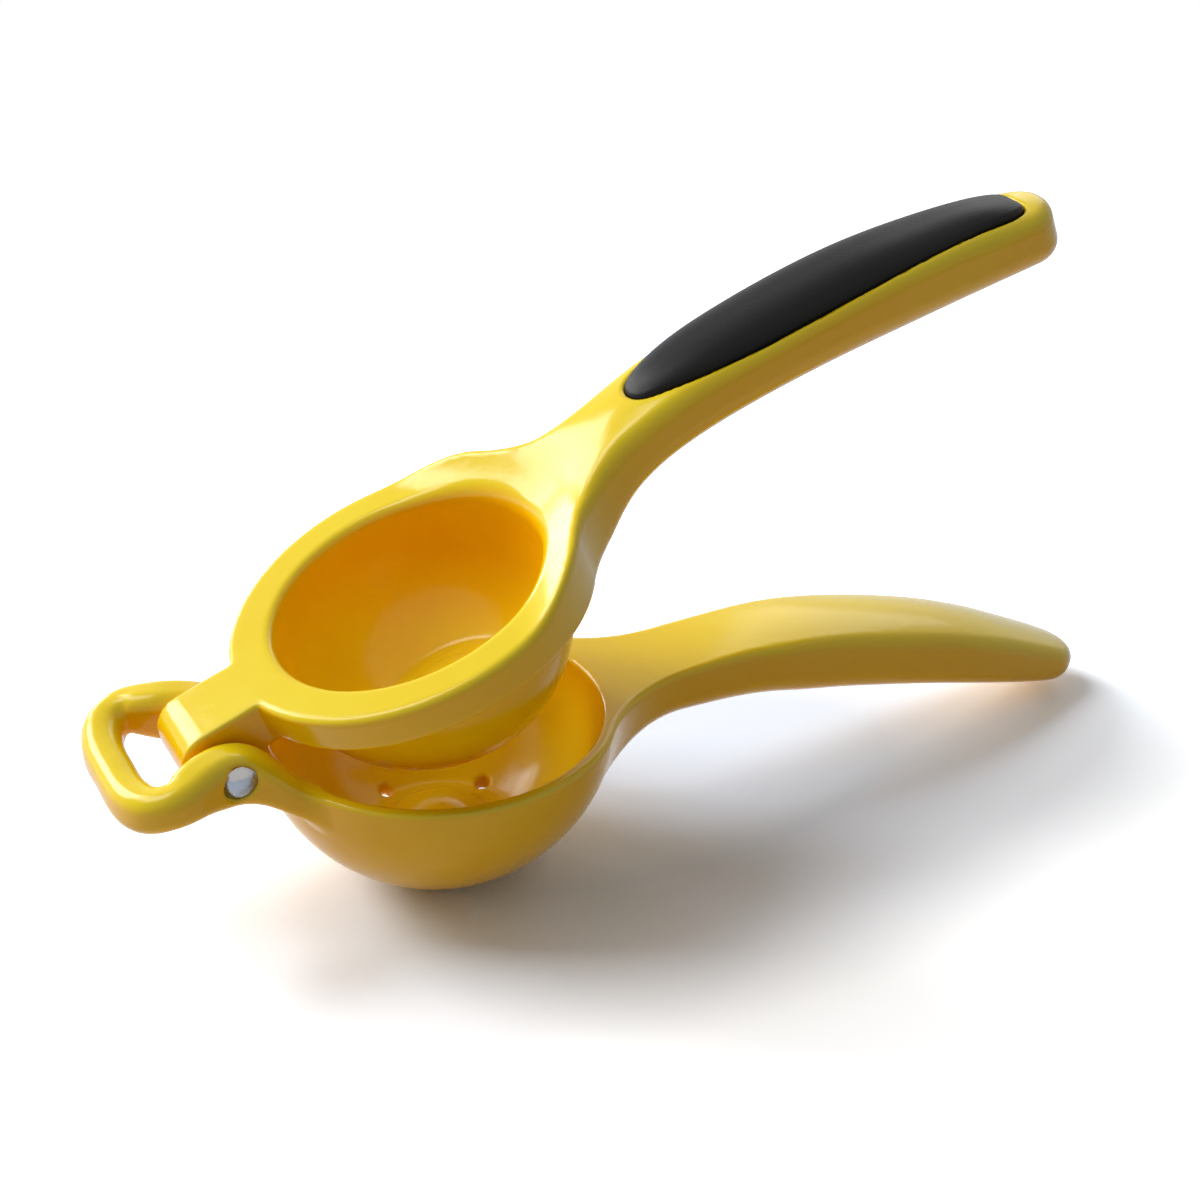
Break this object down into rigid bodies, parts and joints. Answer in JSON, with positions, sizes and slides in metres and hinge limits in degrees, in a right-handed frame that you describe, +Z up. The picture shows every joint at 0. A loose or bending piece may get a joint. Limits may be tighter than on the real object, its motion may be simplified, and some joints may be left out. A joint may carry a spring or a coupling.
{
  "type": "citrus squeezer",
  "caption": "Hinged hand squeezer for citrus: a round strainer bowl with drain holes, a press cup on a pinned arm with a soft grip pad, and a hanging loop.",
  "frame": {"origin": "middle of the flat foot under the strainer bowl, on the bowl's axis, at the height of the surface it stands on", "axes": "+X from the bowl towards the two handles, +Y along the hinge pin, +Z up through the bowl's mouth"},
  "size_m": [0.2363, 0.0766, 0.1257],
  "materials": {
    "enamelled_casting": "gloss",
    "pin_steel": "polished",
    "pad_rubber": "matte"
  },
  "bodies": {
    "strainer_arm": {"strainer_arm": "enamelled_casting", "hinge_pin": "pin_steel"},
    "press_arm": {"press_arm": "enamelled_casting", "grip_pad": "pad_rubber"}
  },
  "joints": [
    {"name": "squeeze_hinge", "type": "hinge", "parent": "strainer_arm", "child": "press_arm", "pos_m": [-0.048, 0, 0.0429], "axis": [0, -1, 0], "range_deg": [-23.6, 120]}
  ]
}
